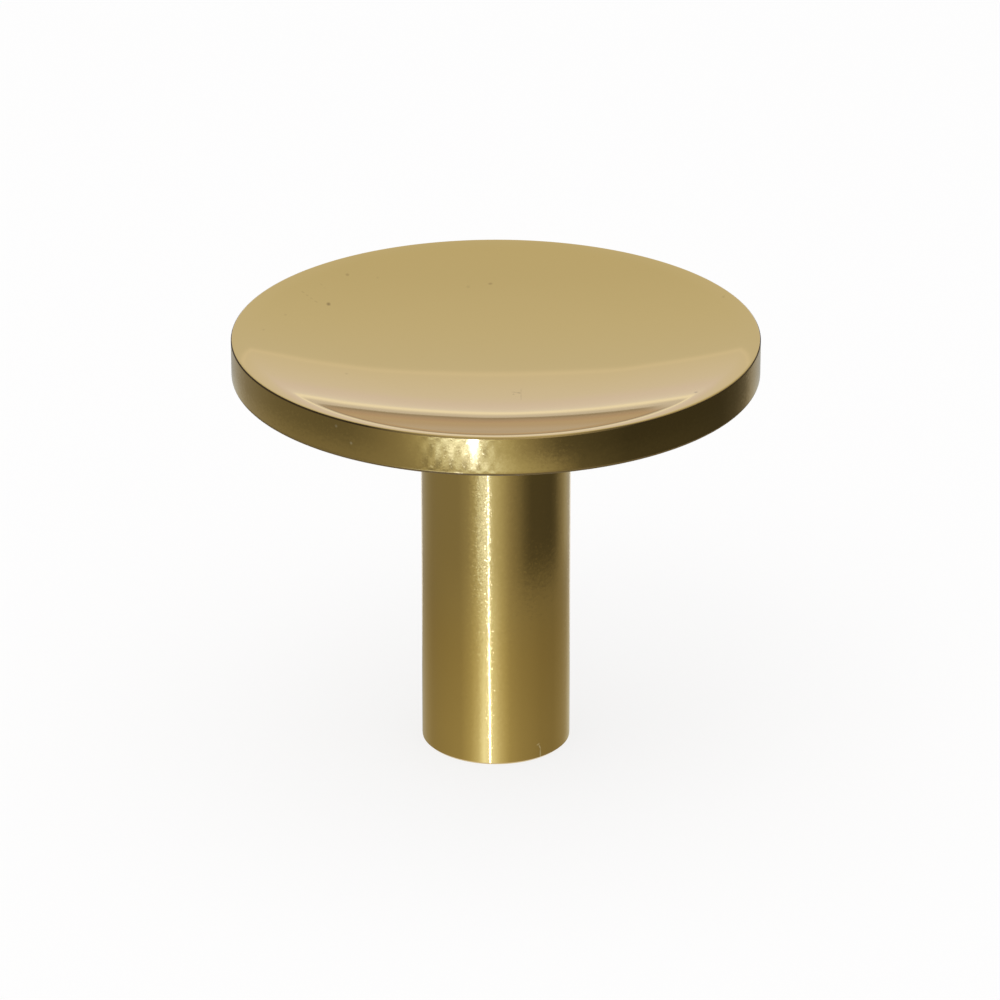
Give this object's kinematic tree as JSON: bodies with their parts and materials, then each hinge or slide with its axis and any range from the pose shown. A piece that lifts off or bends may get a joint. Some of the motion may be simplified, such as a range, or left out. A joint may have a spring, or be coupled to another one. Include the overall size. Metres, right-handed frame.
{
  "type": "cabinet knob",
  "caption": "Round disc knob with a dished, polished face on a plain cylindrical stem, tapped in its base for a fixing screw.",
  "frame": {"origin": "centre of the stem's flat base, where the knob sits on the drawer or door front", "axes": "+Z along the turning axis from the base to the dished face; the knob has no front or side of its own round that axis"},
  "size_m": [0.035, 0.035, 0.0292],
  "materials": {
    "brass": "satin-turned rim and stem, mirror-polished dished face, unlacquered look"
  },
  "bodies": {
    "root": {"knob": "brass"}
  },
  "joints": []
}
